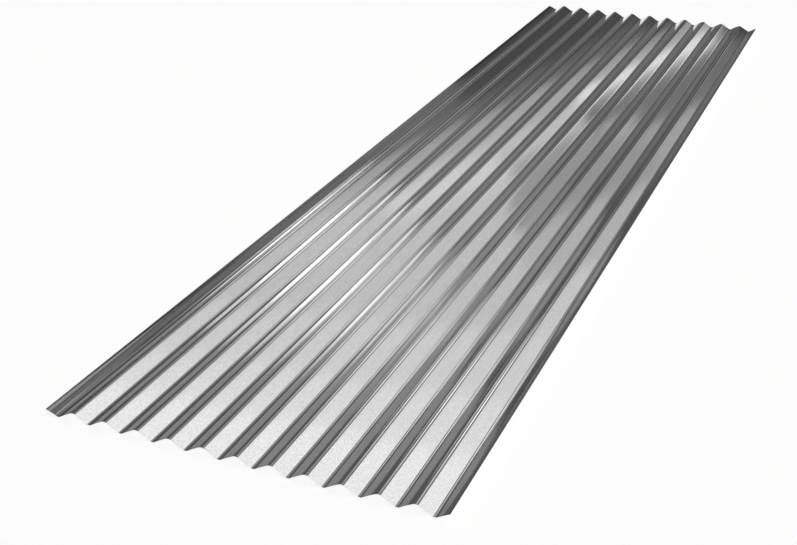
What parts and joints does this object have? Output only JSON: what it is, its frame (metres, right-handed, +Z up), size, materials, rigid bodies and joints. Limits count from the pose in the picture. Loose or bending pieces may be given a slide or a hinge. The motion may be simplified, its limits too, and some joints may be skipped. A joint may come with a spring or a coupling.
{
  "type": "corrugated metal sheet",
  "caption": "Long galvanised steel roofing sheet with even round waves along its length and both edges turned up, lying flat on its valleys.",
  "frame": {"origin": "middle of the sheet, at the level of the undersides of its valleys", "axes": "+X across the waves, +Y along the waves towards the far end, +Z up"},
  "size_m": [0.896, 3.6, 0.0185],
  "materials": {
    "galvanised_steel": "bright galvanised, satin sheen"
  },
  "bodies": {
    "root": {"corrugated_sheet": "galvanised_steel"}
  },
  "joints": []
}
